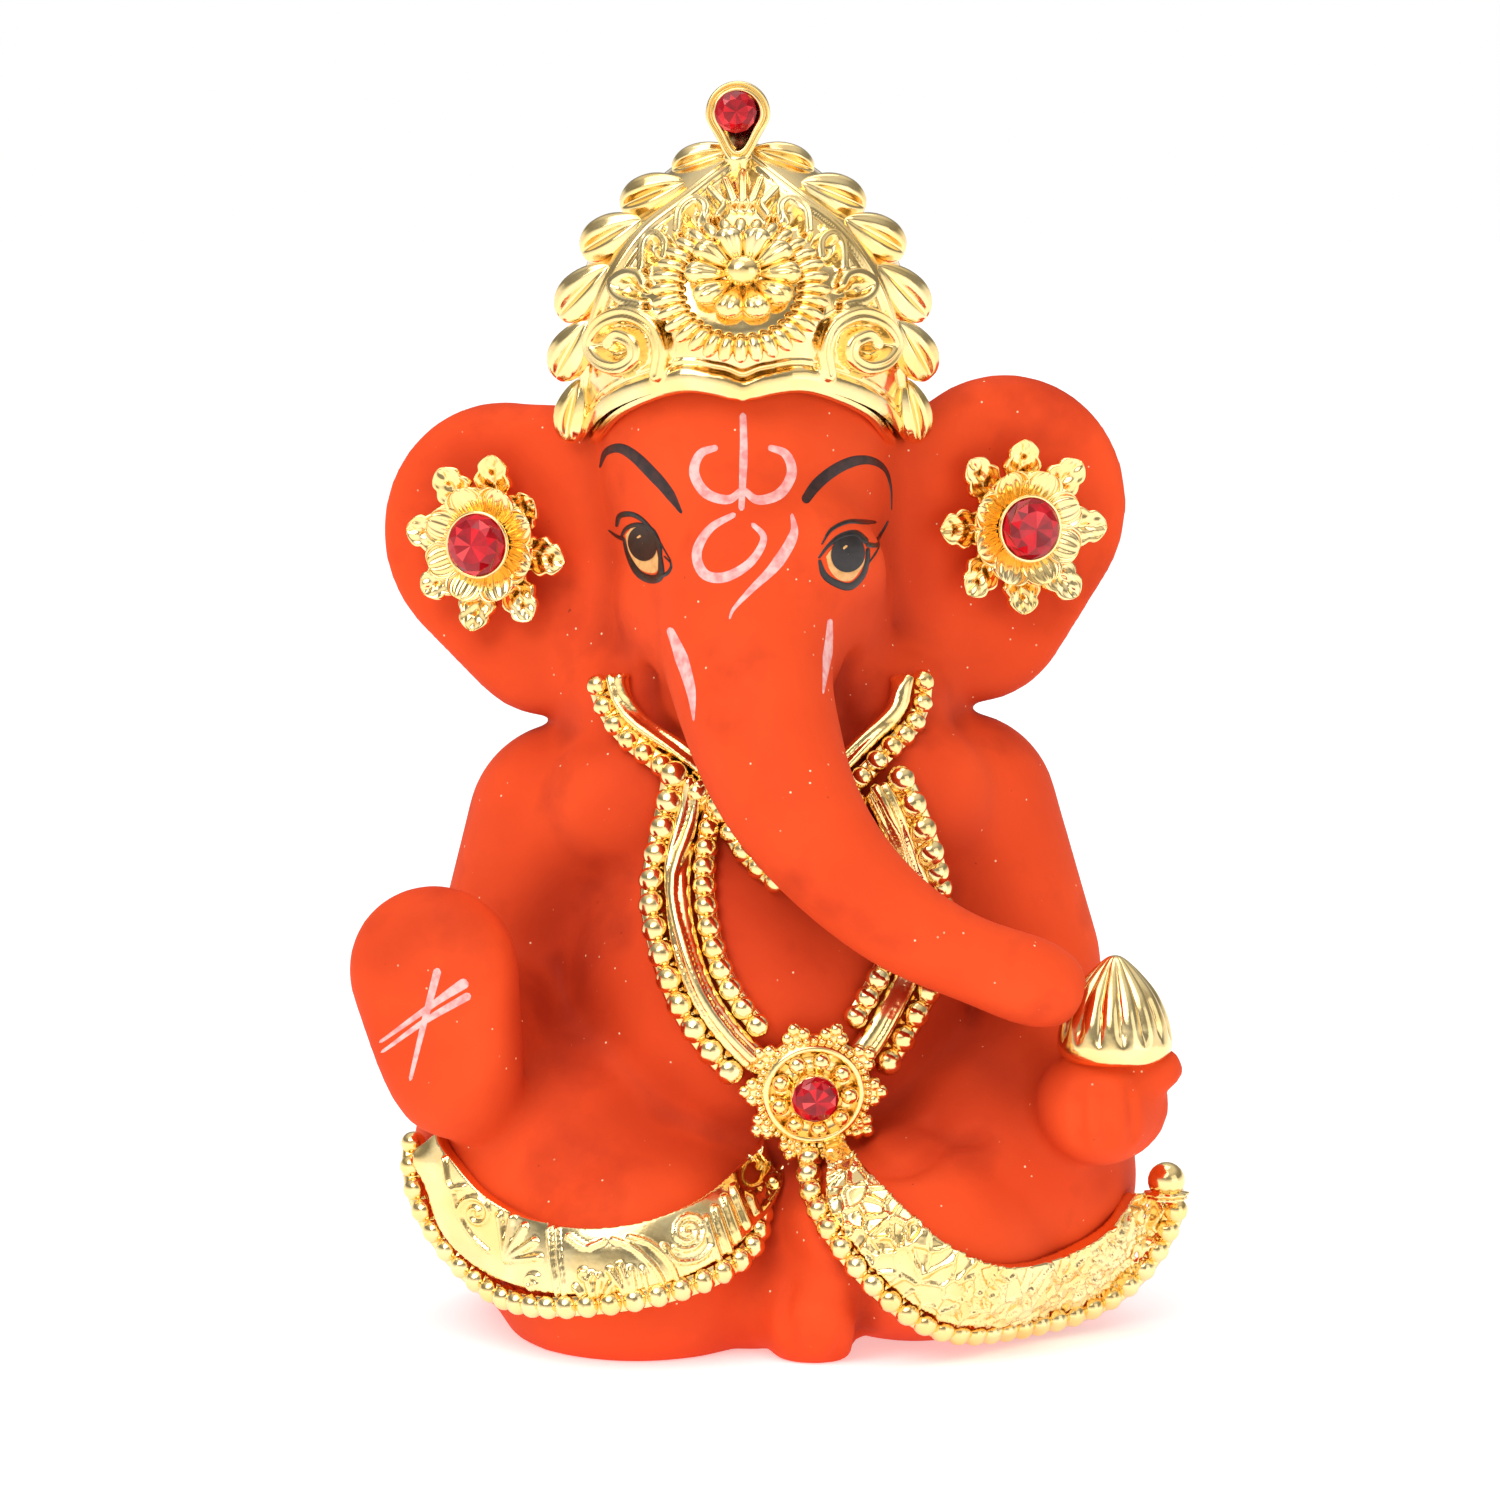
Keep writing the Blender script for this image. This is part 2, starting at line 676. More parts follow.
def brush_stroke(origin, points, widths, lift=PAINT_LIFT):
    """A thin raised stroke over the skin; widths are full widths along it, in millimetres."""
    count = 14 * len(points)
    flat = smooth_line([(origin[0] + x, origin[2] + z) for x, z in points], count)
    heading = np.gradient(flat, axis=0)
    heading /= np.linalg.norm(heading, axis=1)[:, None]
    side = np.stack((heading[:, 1], -heading[:, 0]), axis=1)
    spread = np.interp(np.linspace(0, 1, count), np.linspace(0, 1, len(widths)), widths) / 2
    run = np.linspace(0, np.linalg.norm(np.diff(flat, axis=0), axis=1).sum(), count)
    from_end = np.minimum(run, run[-1] - run) / spread
    spread = spread * np.sqrt(np.clip(1 - (1 - np.minimum(from_end + 0.05, 1)) ** 2, 0, 1))
    rows = []
    for centre, across, half in zip(flat, side, spread):
        row = []
        for share in np.linspace(-1, 1, 7):
            x, z = centre + across * half * share
            hit, normal = on_skin(SKIN, x, z)
            row.append(hit + normal * lift * (0.25 + math.sqrt(max(0.0, 1 - share * share))))
        rows.append(row)
    return grid(np.array(rows))


def painted_patch(origin, outline, lift):
    """A filled shape over the skin, inside a smooth closed outline."""
    closed = list(outline) + [outline[0]]
    rim = smooth_line([(origin[0] + x, origin[2] + z) for x, z in closed], 41)[:-1]
    centre = rim.mean(0)
    rows = []
    for share in np.linspace(0.02, 1.0, 8):
        row = []
        for x, z in centre + (rim - centre) * share:
            hit, normal = on_skin(SKIN, x, z)
            row.append(hit + normal * lift)
        rows.append(row)
    return grid(np.array(rows), wrap_columns=True)


# All marks on the face are x and z from the middle of the crown's rosette.
BROWS = (
    (((-9.95, -13.0), (-9.5, -11.9), (-8.5, -11.5), (-7.4, -12.0), (-6.1, -13.2), (-5.1, -14.3),
      (-4.15, -15.7)), (0.15, 0.5, 0.75, 0.85, 0.85, 0.7, 0.2)),
    (((4.1, -14.9), (5.1, -13.7), (6.45, -12.75), (7.8, -12.3), (9.0, -12.45), (9.9, -13.2),
      (10.3, -14.5), (10.35, -16.0)), (0.6, 0.8, 0.8, 0.75, 0.55, 0.3, 0.15, 0.08)),
)
EYES = (
    {"ground": ((-8.1, -17.5), (-7.85, -18.65), (-7.15, -19.65), (-6.3, -19.9), (-5.75, -19.55),
                (-5.8, -18.6), (-6.3, -17.2), (-7.3, -16.65)),
     "iris": (-6.85, -17.95), "iris_size": (1.05, 1.2),
     "lines": (
         (((-8.4, -17.6), (-8.0, -17.0), (-7.2, -16.7), (-6.3, -16.95), (-5.75, -17.8), (-5.6, -18.8)),
          (0.2, 0.3, 0.35, 0.45, 0.4, 0.3)),
         (((-8.25, -17.7), (-7.95, -18.9), (-7.2, -20.0), (-6.3, -20.3), (-5.6, -19.9), (-5.6, -18.6)),
          (0.2, 0.3, 0.5, 0.6, 0.5, 0.3)),
         (((-8.75, -17.0), (-8.5, -16.2), (-7.65, -16.0), (-6.8, -16.4), (-5.95, -17.3),
           (-4.85, -18.9)), (0.25, 0.4, 0.35, 0.25, 0.12, 0.08)),
         (((-5.35, -18.6), (-4.85, -19.1), (-5.1, -19.7), (-5.7, -20.0)), (0.1, 0.15, 0.25, 0.3)),
         (((-8.2, -17.8), (-8.75, -17.7), (-9.35, -17.35)), (0.35, 0.25, 0.08)))},
    {"ground": ((5.6, -18.5), (5.85, -19.4), (6.45, -20.1), (7.3, -20.25), (7.95, -19.6),
                (8.25, -18.8), (7.6, -17.8), (6.2, -17.9)),
     "iris": (7.1, -18.4), "iris_size": (1.18, 1.25),
     "lines": (
         (((5.1, -18.6), (5.75, -17.8), (6.6, -17.2), (7.65, -17.1), (8.5, -17.75)),
          (0.15, 0.25, 0.4, 0.5, 0.4)),
         (((5.15, -18.7), (5.5, -19.75), (6.35, -20.4), (7.3, -20.65), (8.1, -20.0), (8.45, -19.0),
           (8.5, -18.1)), (0.2, 0.45, 0.5, 0.55, 0.45, 0.35, 0.3)),
         (((5.3, -17.7), (5.95, -16.75), (7.05, -16.3), (8.1, -16.4), (9.2, -16.75)),
          (0.1, 0.25, 0.28, 0.3, 0.2)),
         (((8.4, -19.3), (9.2, -18.3), (9.4, -17.8)), (0.08, 0.15, 0.1)),
         (((8.35, -17.85), (9.2, -18.0), (9.7, -17.45), (10.1, -16.75)), (0.35, 0.3, 0.2, 0.1)))},
)
TUSKS = (
    (((-5.0, -23.4), (-4.2, -25.2), (-3.5, -27.4), (-3.3, -29.4)), (0.5, 0.95, 0.7, 0.12)),
    (((5.9, -22.8), (5.8, -24.6), (5.4, -27.6)), (0.35, 0.7, 0.12)),
)
TILAK = (
    (((0.0, -8.9), (0.05, -11.6), (-0.1, -15.4)), (0.45, 0.55, 0.4)),
    (((-1.7, -11.2), (-2.9, -11.7), (-3.3, -13.0), (-2.5, -14.3), (-1.0, -14.7), (0.0, -14.0)),
     (0.4, 0.6, 0.7, 0.7, 0.6, 0.4)),
    (((1.7, -11.2), (2.9, -11.7), (3.3, -13.0), (2.5, -14.3), (1.0, -14.7), (0.0, -14.0)),
     (0.4, 0.6, 0.7, 0.7, 0.6, 0.4)),
    (((-0.5, -15.6), (-2.2, -16.6), (-3.1, -18.2), (-2.6, -19.6), (-1.2, -19.8), (0.5, -18.8),
      (1.4, -17.2), (0.6, -16.2)), (0.35, 0.5, 0.65, 0.7, 0.7, 0.6, 0.5, 0.3)),
    (((3.3, -15.6), (3.4, -17.0), (2.2, -19.0), (0.6, -20.6), (-0.6, -21.9), (-0.9, -22.6)),
     (0.2, 0.7, 0.8, 0.55, 0.35, 0.15)),
)
# x and z from the middle of the raised palm.
PALM_MARKS = (
    (((-0.1, 1.3), (-1.1, -2.5), (-2.1, -6.5)), (0.55, 0.42, 0.25)),
    (((1.9, 0.5), (0.6, -0.4), (-1.3, -1.8), (-4.2, -4.0)), (0.75, 0.45, 0.35, 0.2)),
    (((2.1, -0.4), (-1.1, -2.4), (-4.1, -4.7)), (0.55, 0.4, 0.2)),
)


def ellipse_outline(centre, size):
    return [(centre[0] + size[0] * math.cos(t), centre[1] + size[1] * math.sin(t)) for t in turns(12)]


def paint_face():
    face = middle("crown_rosette")
    brows = [brush_stroke(face, line, widths) for line, widths in BROWS]
    make_piece("brows", merged(brows), BROWN)
    whites, black, glints = [], [], []
    for eye in EYES:
        whites.append(painted_patch(face, eye["ground"], GROUND_LIFT))
        iris = ellipse_outline(eye["iris"], eye["iris_size"])
        black.append(painted_patch(face, iris, IRIS_LIFT))
        black += [brush_stroke(face, line, widths, LINE_LIFT) for line, widths in eye["lines"]]
        x, z = eye["iris"]
        glint = ((x - 0.35, z + 0.35), (x - 0.1, z + 0.55))
        glints.append(brush_stroke(face, glint, (0.16, 0.2), GLINT_LIFT))
    make_piece("eye_grounds", merged(whites), CREAM)
    make_piece("eye_lines", merged(black), BLACK)
    make_piece("eye_glints", merged(glints), CREAM)
    marks = [brush_stroke(face, line, widths) for line, widths in TILAK + TUSKS]
    make_piece("forehead_mark_and_tusks", merged(marks), PINK)


def paint_palm():
    palm = palm_middle()
    marks = [brush_stroke(palm, line, widths) for line, widths in PALM_MARKS]
    make_piece("palm_mark", merged(marks), PINK)


paint_face()
paint_palm()


# ---------------------------------------------------------------- the crown
# The dome's outline: height from the middle of the rosette, and half-width.
DOME = ((-16.0, 10.4), (-11.0, 10.9), (-6.0, 11.6), (-1.5, 11.7), (2.5, 10.1), (6.0, 7.0),
        (8.4, 3.8), (9.6, 0.0))
DOME_DEPTH = 1.13       # how much deeper than wide the dome is
DOME_WALL = 0.9
# The rest of the crown is right halves, x and z from the rosette, repeated mirrored.
ARCH = ((0.0, -8.0), (1.3, -7.5), (4.4, -7.2), (8.6, -8.8), (10.9, -11.4), (12.5, -13.4))
RAIL = ((0.3, 8.3), (3.9, 5.5), (6.8, 3.2), (9.1, -0.2), (10.3, -3.6), (10.9, -6.8), (11.1, -10.0))
INNER_RAIL = ((5.4, 3.5), (6.9, 1.6), (8.3, -0.6), (9.5, -3.2))
VOLUTE = ((5.5, -6.2), (5.3, -4.5), (5.9, -3.0), (7.5, -2.3), (9.2, -2.9), (10.0, -4.3),
          (9.3, -5.5), (8.0, -5.8), (7.0, -5.1), (7.1, -4.1), (8.0, -3.7), (8.6, -4.2))
UPPER_LOOP = ((4.25, 3.0), (4.05, 4.4), (3.1, 5.1), (2.4, 4.6), (2.7, 3.4))
SIDE_LOOP = ((5.1, 1.4), (5.1, 2.4), (5.8, 2.9), (6.5, 2.3), (6.6, 0.7))
HOOK = ((6.4, -0.4), (6.8, 0.2), (7.7, 0.3), (8.6, -0.4), (8.1, -1.3), (6.6, -1.7))
SPRIG = ((1.9, 5.6), (1.2, 4.9), (1.7, 4.1))
PALMETTE = (((0.0, 5.0), (0.0, 6.9)), ((0.6, 5.0), (1.1, 6.4)), ((1.3, 4.9), (2.1, 5.8)))
CROWN_RELIEF = (        # line, half-width, height, groove
    (RAIL, 0.45, 0.50, 0.25),
    (INNER_RAIL, 0.26, 0.40, 0.0),
    (VOLUTE, 0.66, 1.15, 0.25),
    (UPPER_LOOP, 0.45, 0.95, 0.25),
    (SIDE_LOOP, 0.42, 0.85, 0.25),
    (HOOK, 0.44, 0.90, 0.15),
    (SPRIG, 0.32, 0.70, 0.0),
) + tuple((line, 0.40, 0.85, 0.2) for line in PALMETTE)
CROWN_PITS = ((3.3, 4.1), (5.85, 1.6), (7.4, -0.6), (8.2, -4.6), (5.0, -1.9), (2.2, 3.6))
# Base, tip and half-width of each leaf down the edge.
EDGE_LEAVES = (
    ((0.6, 8.7), (4.9, 7.5), 1.30),
    ((3.9, 6.5), (8.4, 4.9), 1.60),
    ((6.8, 4.0), (11.1, 1.8), 1.65),
    ((9.0, 0.9), (12.65, -2.6), 1.65),
    ((10.4, -2.8), (12.9, -6.8), 1.55),
    ((11.0, -6.8), (12.2, -11.3), 1.40),
)


def mirrored(line):
    return [(-x, z) for x, z in line]


class Dome:
    """The crown's half dome: points, normals and an unrolled flat map for its relief."""

    def __init__(self):
        self.middle = middle("crown_rosette")
        self.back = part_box("crown_shell")[1].y / MM
        outline = smooth_line([(width, height) for height, width in DOME], 300)
        self.width, self.height = outline.T
        steps = np.linalg.norm(np.diff(outline, axis=0), axis=1)
        self.climb = np.concatenate(([0], np.cumsum(steps)))
        self.slope = np.gradient(outline, axis=0)

    def at(self, share, turn, lift=0.0):
        """Points at shares of the way up the outline and turns from the front."""
        place = share * (len(self.width) - 1)
        index = np.arange(len(self.width))
        width, height, run_out, rise = (np.interp(place, index, column) for column in
                                        (self.width, self.height, *self.slope.T))
        out = np.stack((rise * np.sin(turn), -rise * np.cos(turn) / DOME_DEPTH, -run_out), axis=-1)
        out /= np.linalg.norm(out, axis=-1, keepdims=True)
        skin = np.stack((self.middle[0] + width * np.sin(turn),
                         self.back - DOME_DEPTH * width * np.cos(turn),
                         self.middle[2] + height), axis=-1)
        return skin + out * np.asarray(lift)[..., None]

    def flat(self, share, turn):
        """Unrolled position: across from the middle, and up from the foot."""
        place = share * (len(self.width) - 1)
        index = np.arange(len(self.width))
        width = np.interp(place, index, self.width)
        return np.stack((width * turn, np.interp(place, index, self.climb) + 0 * turn), axis=-1)

    def locate(self, x, z):
        """Share and turn of the point seen at x and z from the front."""
        share = np.interp(z, self.height, np.linspace(0, 1, len(self.height)))
        width = np.interp(z, self.height, self.width)
        return share, np.arcsin(np.clip(x / width, -1, 1))

    def arch_share(self, turn):
        """How far up the outline the lower arch cuts the dome at each turn."""
        x = self.width[None, :] * np.sin(np.abs(turn))[:, None]
        arch = smooth_line(ARCH, 80)
        above = self.height[None, :] >= np.interp(x, arch[:, 0], arch[:, 1])
        return above.argmax(axis=1) / (len(self.width) - 1)


def crown_grid(dome, columns, rows):
    turn = np.linspace(-math.pi / 2, math.pi / 2, columns)
    low = dome.arch_share(turn)
    low = np.convolve(np.pad(low, 2, mode="edge"), np.ones(5) / 5, mode="valid")
    up = np.linspace(0, 0.999, rows)[:, None]
    return low + (1 - low) * up, turn + 0 * up


def crown_relief(dome, share, turn):
    flat = dome.flat(share, turn).reshape(-1, 2)
    height = np.zeros(len(flat))
    for line, half, rise, groove in CROWN_RELIEF:
        for side in (line, mirrored(line)):
            seen = smooth_line(side, 10 * len(side))
            path = dome.flat(*dome.locate(seen[:, 0], seen[:, 1]))
            gap = distance_to_line(flat, path)[0]
            height = np.maximum(height, ridge(gap, half, rise, groove))
    return height.reshape(share.shape)


def crown_pits(dome, share, turn):
    flat = dome.flat(share, turn)
    depth = np.zeros(share.shape)
    for x, z in CROWN_PITS:
        for side in (-1, 1):
            centre = dome.flat(*dome.locate(np.float64(side * x), np.float64(z)))
            gap = np.linalg.norm(flat - centre, axis=-1)
            depth = np.maximum(depth, 0.8 * np.exp(-(gap / 0.42) ** 2))
    return depth


def crown_shell(dome):
    share, turn = crown_grid(dome, 301, 190)
    relief = crown_relief(dome, share, turn)
    rise = (share - share[0]) * dome.climb[-1]
    lip = np.maximum(ridge(rise - 0.5, 0.95, 0.62), ridge(rise - 1.75, 0.16, 0.16))
    front = grid(dome.at(share, turn, np.maximum(relief, lip) - crown_pits(dome, share, turn)))
    share, turn = crown_grid(dome, 81, 50)
    lining_points = dome.at(share, turn, np.full(share.shape, -DOME_WALL))
    lining = grid(lining_points)
    outer = dome.at(share, turn)
    edges = [tube((outer[:, end] + lining_points[:, end]) / 2, DOME_WALL * 0.56) for end in (0, -1)]
    edges.append(tube((outer[0] + lining_points[0]) / 2, DOME_WALL * 0.56, out=UP))
    return merged([front, lining] + edges)


def crown_leaves(dome):
    leaves = []
    for base, tip, half in EDGE_LEAVES:
        for side in (-1, 1):
            share, turn = dome.locate(np.float64(side * base[0]), np.float64(base[1]))
            start = dome.at(share, turn, 0.25)
            end_y = start[1] + 0.35 * (dome.back - start[1])
            end = np.array((dome.middle[0] + side * tip[0], end_y, dome.middle[2] + tip[1]))
            axis = end - start
            length = np.linalg.norm(axis)
            part = leaf(length, half, 1.15, fold=0.6, rim=0.12, widest=0.58, blunt=0.5)
            leaves.append(moved(part, start, leaf_axes(axis, np.array((side * 0.35, -1.0, 0.1)))))
    return merged(leaves)


ROSETTE_SQUASH = 0.86       # the rosette is a little lower than wide
RING_DROP = np.array((-0.9, 0.15, 0.0))


def crown_rosette(dome):
    """A ten-petalled flower inside a ring of ribs."""
    petals = [leaf(3.2, 1.02, 0.95, fold=0.15, widest=0.70, blunt=0.5, curl=0.2)] * 10
    ribs = [leaf(2.5, 0.56, 0.80, widest=0.5, blunt=0.4)] * 32
    ring = merged(spun(ribs, 3.55, 0.35, 0.0)
                  + [lathe(((0, 0.6), (3.2, 0.6), (3.9, 0.45), (4.6, 0.2), (5.4, -0.4)))])
    parts = spun(petals, 0.75, 1.35, math.pi / 2) + [moved(ring, RING_DROP)]
    parts.append(lathe(((1.0, 1.4), (1.25, 1.8), (1.2, 2.2), (0.85, 2.65), (0.4, 2.85), (0, 2.9))))
    parts = [moved((points * (ROSETTE_SQUASH, 1, 1), faces), 0) for points, faces in parts]
    share, turn = dome.locate(np.float64(0.0), np.float64(0.0))
    centre, lifted = dome.at(share, turn), dome.at(share, turn, 1.0)
    return moved(merged(parts), centre, frame_axes(lifted - centre))


def spun(parts, radius, height, start):
    """Parts that lie along +X, set out round +Z at even turns, their roots at a radius."""
    placed = []
    for i, part in enumerate(parts):
        turn = start + 2 * math.pi * i / len(parts)
        heading = np.array((math.cos(turn), math.sin(turn), 0.0))
        placed.append(moved(part, heading * radius + UP * height, frame_axes(UP, heading)))
    return placed


def teardrop(radius, tip, sides=60):
    """A round outline drawn down to a point at -Y, as columns of x and y."""
    turn = turns(sides)
    below = np.clip(-np.sin(turn), 0, 1) ** 5
    reach = radius + (tip - radius) * below
    pinch = 1 - 0.35 * np.clip(-np.sin(turn), 0, 1) ** 2
    return np.stack((reach * np.cos(turn) * pinch, reach * np.sin(turn)), axis=-1)


# Radius, reach of the point below the gem, and height, from the outer back edge to the seat.
FINIAL_STEPS = ((2.1, 3.4, -1.5), (2.2, 3.6, -1.2), (2.22, 3.6, -0.2), (2.1, 3.4, 0.1),
                (1.96, 3.1, -0.1), (1.9, 3.0, -0.35), (1.78, 2.9, 0.1), (1.62, 2.7, 0.3),
                (1.46, 2.5, 0.1), (1.4, 2.3, -0.3), (0.05, 0.1, -0.35))


def crown_finial():
    gem = middle("crown_gem")
    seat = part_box("crown_gem")[1].y / MM
    rows = [np.concatenate((teardrop(radius, tip), np.full((60, 1), height)), axis=1)
            for radius, tip, height in FINIAL_STEPS]
    bezel = grid(np.array(rows), wrap_columns=True)
    stem = tube(smooth_line(((0, -2.6, -0.7), (0, -4.2, -0.9), (0, -5.4, -0.3)), 14), 1.0, out=UP)
    axes = np.array((np.array((1.0, 0, 0)), UP, FRONT))
    return moved(merged([bezel, stem]), (gem[0] + 0.15, seat, gem[2] - 0.1), axes)


def make_crown():
    dome = Dome()
    make_piece("crown_relief_shell", merged([crown_shell(dome), crown_leaves(dome), crown_finial()]),
               GOLD, ("crown_shell",))
    make_piece("crown_flower", crown_rosette(dome), GOLD, ("crown_rosette",))


# ---------------------------------------------------------------- the stones
STONE_SIDES = 12
STONE_RINGS = (         # share of the radius, share of the depth, and half-steps turned
    (1.0, 0.0, 0), (1.0, 0.35, 0), (0.86, 0.7, 1), (0.6, 0.96, 0), (0.01, 1.0, 0))
STONE_DEPTH = 0.62      # of its radius
TABLE_TONE = 0.45       # brightness of the flat table
SEED = 7
shuffle = np.random.default_rng(SEED)


def stone(radius, depth):
    """A round brilliant: a flat table, a ring of kites and a girdle, with its back cut off."""
    turn = turns(STONE_SIDES)
    half = math.pi / STONE_SIDES
    rings = []
    for share, height, lag in STONE_RINGS:
        around = turn + lag * half
        rings.append(np.stack((radius * share * np.cos(around), radius * share * np.sin(around),
                               np.full(STONE_SIDES, depth * height)), axis=-1))
    points, quads = grid(np.array(rings), wrap_columns=True)
    triangles = np.concatenate((quads[:, [0, 1, 2]], quads[:, [0, 2, 3]]))
    return points, triangles


def make_stone(name, node, out):
    low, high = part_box(node)
    size = np.array(high - low) / MM
    radius = max(size[0], size[2]) / 2
    axes = frame_axes(out)
    depth = radius * STONE_DEPTH
    part = moved(stone(radius, depth), middle(node) - unit(out) * depth * 0.45, axes)
    piece = make_piece(name, part, RUBY, (node,), faceted=True)
    tones = shuffle.random(len(piece.data.polygons)) ** 1.6
    tones[-STONE_SIDES:] = TABLE_TONE
    layer = piece.data.attributes.new("facet", "FLOAT", "FACE")
    layer.data.foreach_set("value", tones)


# ---------------------------------------------------------------- the earrings
EAR_TURN = math.radians(20)
# Direction in degrees and length of each leaf, seen from the front.
RIGHT_LEAVES = ((38, 5.0), (82, 6.3), (124, 6.2), (171, 5.9), (216, 5.8), (261, 6.2), (306, 6.4),
                (350, 6.3))
LEFT_LEAVES = ((0, 6.3), (45, 6.3), (90, 6.2), (133, 6.4), (180, 6.4), (225, 6.3), (270, 6.1),
               (311, 6.4))


def earring_leaves(foot, out, directions):
    """Veined leaves that stand off the ear and curl towards the front."""
    leaves = []
    for degrees, reach in directions:
        turn = math.radians(degrees)
        heading = np.array((math.cos(turn), 0.0, math.sin(turn)))
        heading = unit(heading - out * np.dot(heading, out))
        part = leaf(reach - 1.2, 1.42, 0.40, fold=0.32, veins=5, lobes=4, rim=0.22, curl=1.0,
                    widest=0.62, blunt=0.5, rows=44)
        leaves.append(moved(part, foot + heading * 1.2 + out * 0.7, leaf_axes(heading, out)))
    return merged(leaves)


def earring_cup():
    """Ribbed scallops round a plain collar that holds the stone."""
    scallops = [leaf(3.0, 1.62, 0.35, ribs=5, rim=0.30, curl=1.1, widest=0.66, blunt=0.42)] * 8
    base = lathe(((0.0, 0.0), (2.6, 0.0), (2.9, 0.4), (2.2, 0.9), (1.6, 1.1), (1.5, 2.2)))
    collar = lathe(((1.9, 1.7), (2.25, 2.3), (2.4, 2.75), (2.3, 2.9), (2.12, 2.8), (1.9, 2.4),
                    (0, 2.4)))
    return merged([base, collar] + spun(scallops, 1.15, 1.35, math.pi / 8))


def make_earring(side, directions):
    where = "left" if side > 0 else "right"
    gem = "earring_%s_gem" % where
    out = np.array((side * math.sin(EAR_TURN), -math.cos(EAR_TURN), 0.0))
    foot = middle(gem) - out * 3.1
    make_piece("earring_%s_leaves" % where, earring_leaves(foot, out, directions), GOLD,
               ("earring_%s_petals" % where,))
    make_piece("earring_%s_fluted_cup" % where, moved(earring_cup(), foot, frame_axes(out)),
               GOLD, ("earring_%s_cup" % where,))
    make_stone("earring_%s_stone" % where, gem, out)


# ---------------------------------------------------------------- beads, bands and borders
BEAD_SWELL = 1.14       # neighbouring beads are moulded into each other
BACKING = 0.95          # half-width of the strip that carries a row, in bead radii
BACKING_FLAT = 0.32     # how far that strip is squeezed towards the skin
STRIP_VOXEL = 0.14
BAND_VOXEL = 0.13


def bead_row(balls, squash=1.0):
    """Beads on a flat moulded backing, each squeezed a little along the row."""
    centres = np.array([centre for centre, radius in balls])
    headings = np.gradient(centres, axis=0)
    parts = []
    for (centre, radius), heading in zip(balls, headings):
        size = radius * BEAD_SWELL * np.array((squash, 1, 1))
        parts.append(ball(centre, size, leaf_axes(heading)))
    for a, b in zip(balls[:-1], balls[1:]):
        if np.linalg.norm(a[0] - b[0]) < 3.2 * a[1]:
            reach = 0.35 * (b[0] - a[0])
            line = smooth_line((a[0] - reach, b[0] + reach), 8)
            parts.append(tube(line, BACKING * a[1], sides=12, flat=BACKING_FLAT))
    return merged(parts)


def make_beads(name, node, squash=1.0):
    row = in_order(islands(node))
    make_piece(name, bead_row(row, squash), GOLD, (node,))
    return row


def band_map(clay, row):
    """Distance from a bead row and position along it, in millimetres, for each vertex."""
    return distance_to_line(clay.points / MM, np.array([centre for centre, radius in row]))


def dress_band(name, node, voxel, relief, rounds):
    """A plated band over a CAD node, raised on its outer side by what relief gives."""
    blank = even_copy(node, name, voxel)
    clay = Sculpture(blank.data)
    clay.push(relief(clay) * outer_side(clay))
    clay.polish(rounds)
    clay.normals()
    finish_skin(blank, GOLD, node)


def outer_side(clay):
    """1 on the side of a band that faces away from the figure's middle."""
    away = clay.points / MM - (0.0, 4.0, 16.0)
    away /= np.linalg.norm(away, axis=1)[:, None]
    return np.clip((clay.normals() * away).sum(1) * 3 - 0.3, 0, 1)


def spiral(centre, radius, turns, hand=1, start=0.0, steps=26):
    around = np.linspace(0, 2 * math.pi * turns, steps)
    shrink = radius * (1 - 0.9 * around / around[-1])
    return np.stack((centre[0] + shrink * np.cos(start + hand * around),
                     centre[1] + shrink * np.sin(start + hand * around)), axis=-1)


# Lines of the right border's pattern: x and z seen from the front, from the pendant's stone.
SCROLL_CURVES = (
    ((-13.6, -8.6), (-12.2, -9.1), (-10.9, -10.3), (-10.0, -11.9)),
    ((-12.5, -8.4), (-11.0, -8.9), (-9.8, -10.1), (-9.2, -11.6)),
    ((-11.6, -10.5), (-11.3, -11.8), (-10.8, -12.6)),
    ((-10.2, -9.0), (-9.3, -10.1), (-7.7, -10.0), (-6.7, -8.8)),
    ((-17.9, -8.3), (-17.7, -10.3), (-17.3, -12.8)),
    ((-17.4, -8.3), (-17.2, -10.3), (-16.8, -12.8)),
    ((-24.7, -6.6), (-24.3, -8.2), (-23.4, -9.6), (-22.2, -10.6)),
    ((-25.3, -4.6), (-24.9, -6.4), (-23.9, -6.3)),
    ((-16.6, -8.6), (-15.4, -9.2), (-14.2, -8.7)),
)
SCROLL_SPIRALS = (      # centre, radius, turns, hand, start
    ((-23.0, -8.0), 1.25, 1.6, -1, 3.4),
    ((-8.6, -8.2), 1.25, 2.2, 1, 4.0),
    ((-19.0, -12.0), 0.60, 1.2, 1, 1.0),
    ((-15.5, -10.9), 0.50, 1.0, -1, 0.0),
)
SCROLL_FANS = (         # root, then the tips of its leaves
    ((-20.9, -10.9), ((-21.4, -8.0), (-20.5, -8.0), (-19.6, -8.4), (-18.9, -9.2), (-18.6, -10.2))),
    ((-14.7, -13.6), ((-16.1, -11.9), (-15.3, -11.3), (-14.5, -11.1), (-13.7, -11.5), (-13.0, -12.3))),
    ((-12.0, -13.2), ((-13.8, -10.6), (-13.1, -10.3), (-12.4, -10.5))),
)
SCROLL_BARS = 7
SCROLL_FIRST_BAR = np.array(((-6.5, -10.4), (-7.4, -7.6)))      # foot and head
SCROLL_LAST_BAR = np.array(((-2.6, -6.4), (-3.7, -4.2)))
SCROLL_LINE = (0.17, 0.30)      # half-width and height of a drawn line
SCROLL_LEAF = (0.24, 0.36)


